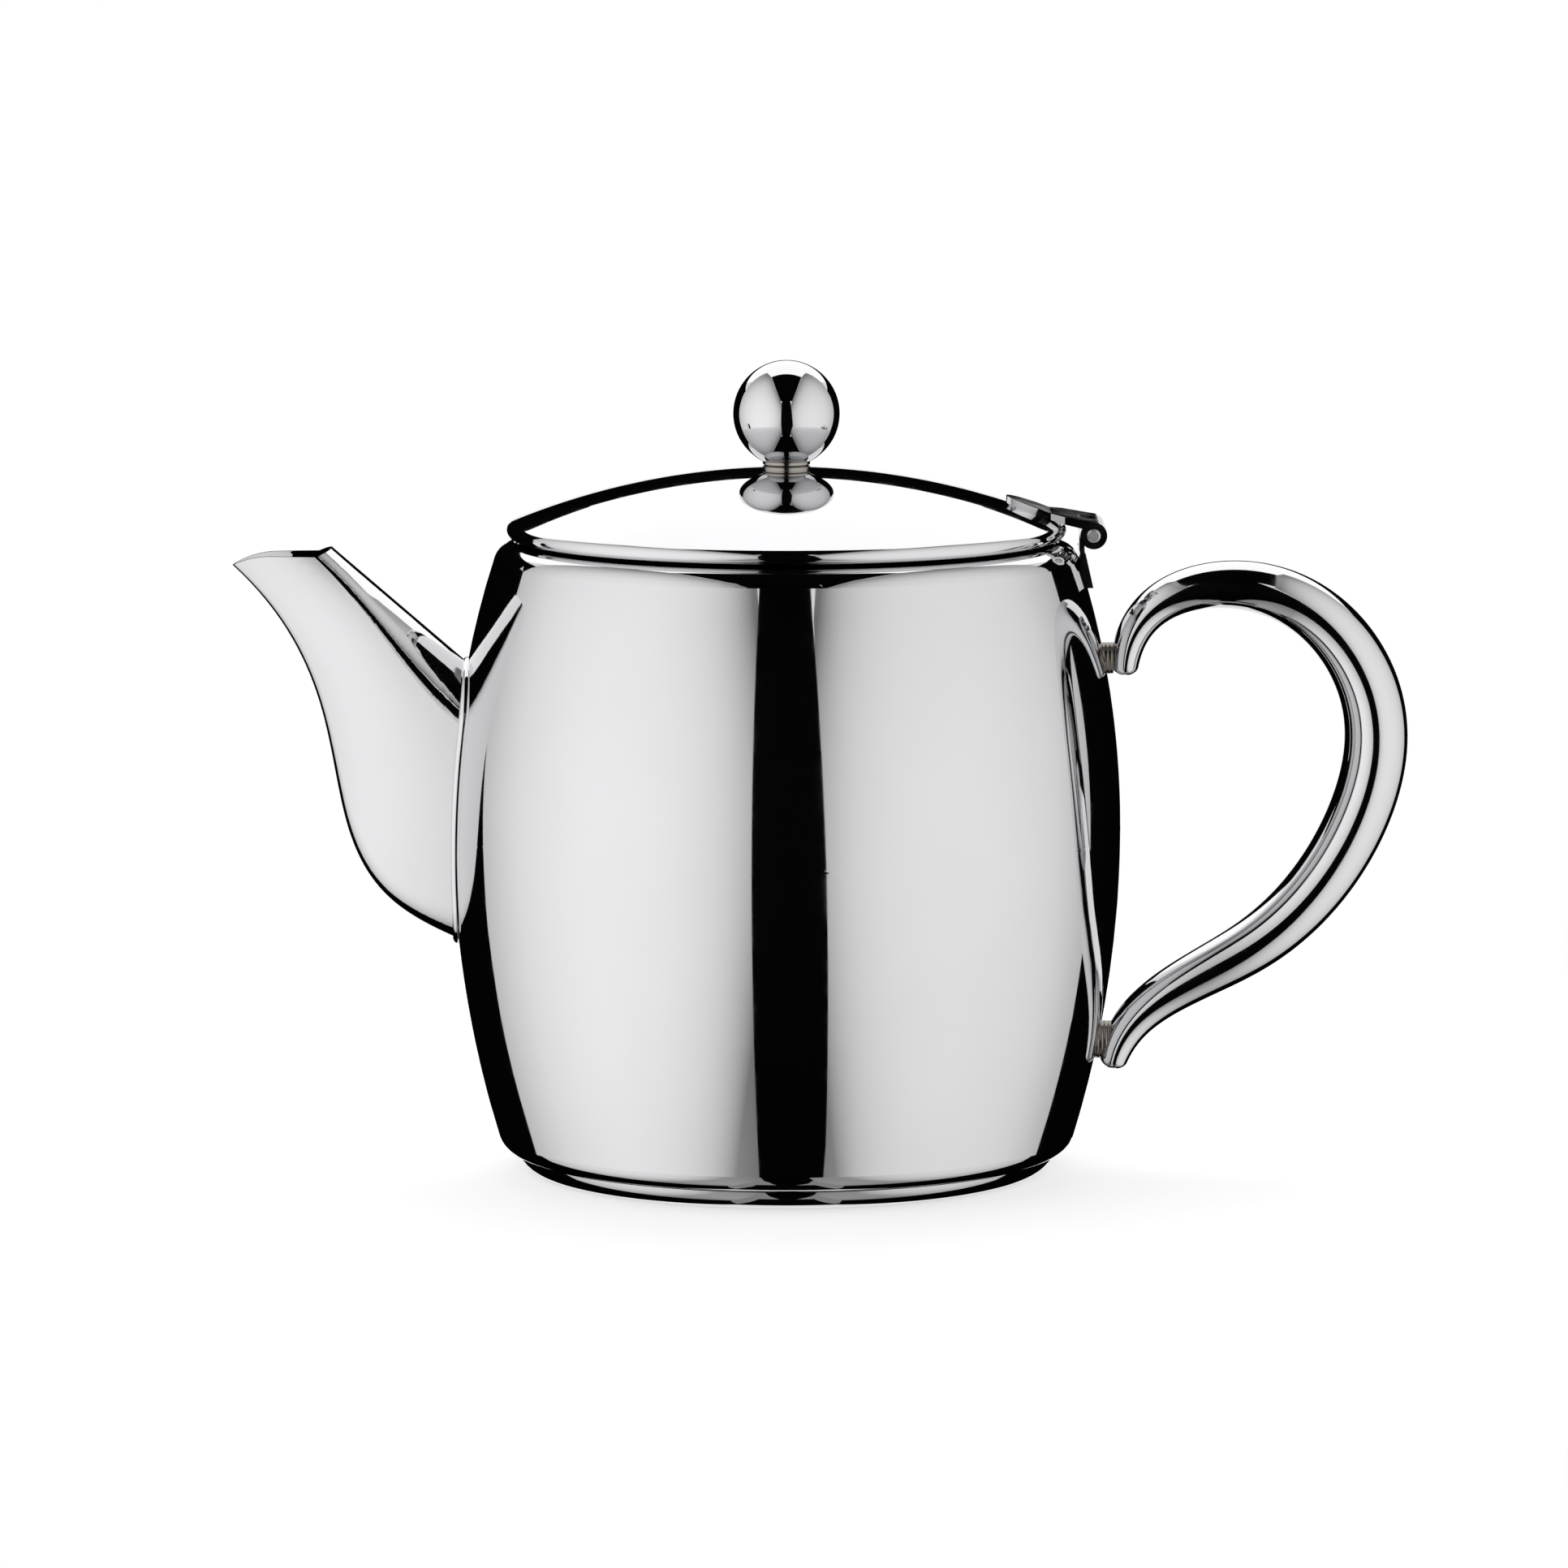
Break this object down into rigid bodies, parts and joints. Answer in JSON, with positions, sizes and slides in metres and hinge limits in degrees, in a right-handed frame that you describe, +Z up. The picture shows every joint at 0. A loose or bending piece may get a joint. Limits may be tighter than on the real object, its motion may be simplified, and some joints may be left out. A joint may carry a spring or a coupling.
{
  "type": "teapot",
  "caption": "Barrel-shaped polished steel teapot with a curved spout, a hooped handle and a domed lid hinged above the handle, with a ball knob.",
  "frame": {"origin": "on the pot's axis, at the height of the table that the foot ring rests on", "axes": "+X from the pot's axis towards the handle, with the spout towards -X; +Y across the pot; +Z up"},
  "size_m": [0.2183, 0.1244, 0.1514],
  "materials": {
    "body_steel": "mirror polished stainless steel",
    "spout_steel": "mirror polished stainless steel",
    "handle_steel": "mirror polished stainless steel",
    "tinted_steel": "turned stainless steel with a brown heat tint",
    "hinge_steel": "polished stainless steel",
    "lid_steel": "mirror polished stainless steel",
    "knob_steel": "mirror polished stainless steel",
    "screw_steel": "plain machined stainless steel"
  },
  "bodies": {
    "pot": {"pot_shell": "body_steel", "base_cap": "body_steel", "spout_left_half": "spout_steel", "spout_right_half": "spout_steel", "handle_left_half": "handle_steel", "handle_right_half": "handle_steel", "handle_upper_post": "tinted_steel", "handle_lower_post": "tinted_steel", "hinge_body_leaf": "hinge_steel", "hinge_pin": "hinge_steel"},
    "lid": {"lid_shell": "lid_steel", "lid_locating_ring": "lid_steel", "hinge_lid_strap": "hinge_steel", "knob_ball": "knob_steel", "knob_collar": "tinted_steel", "knob_screw": "screw_steel"}
  },
  "joints": [
    {"name": "lid_hinge", "type": "hinge", "parent": "pot", "child": "lid", "pos_m": [0.05675, 0, 0.1196], "axis": [0, 1, 0], "range_deg": [0, 105]}
  ]
}
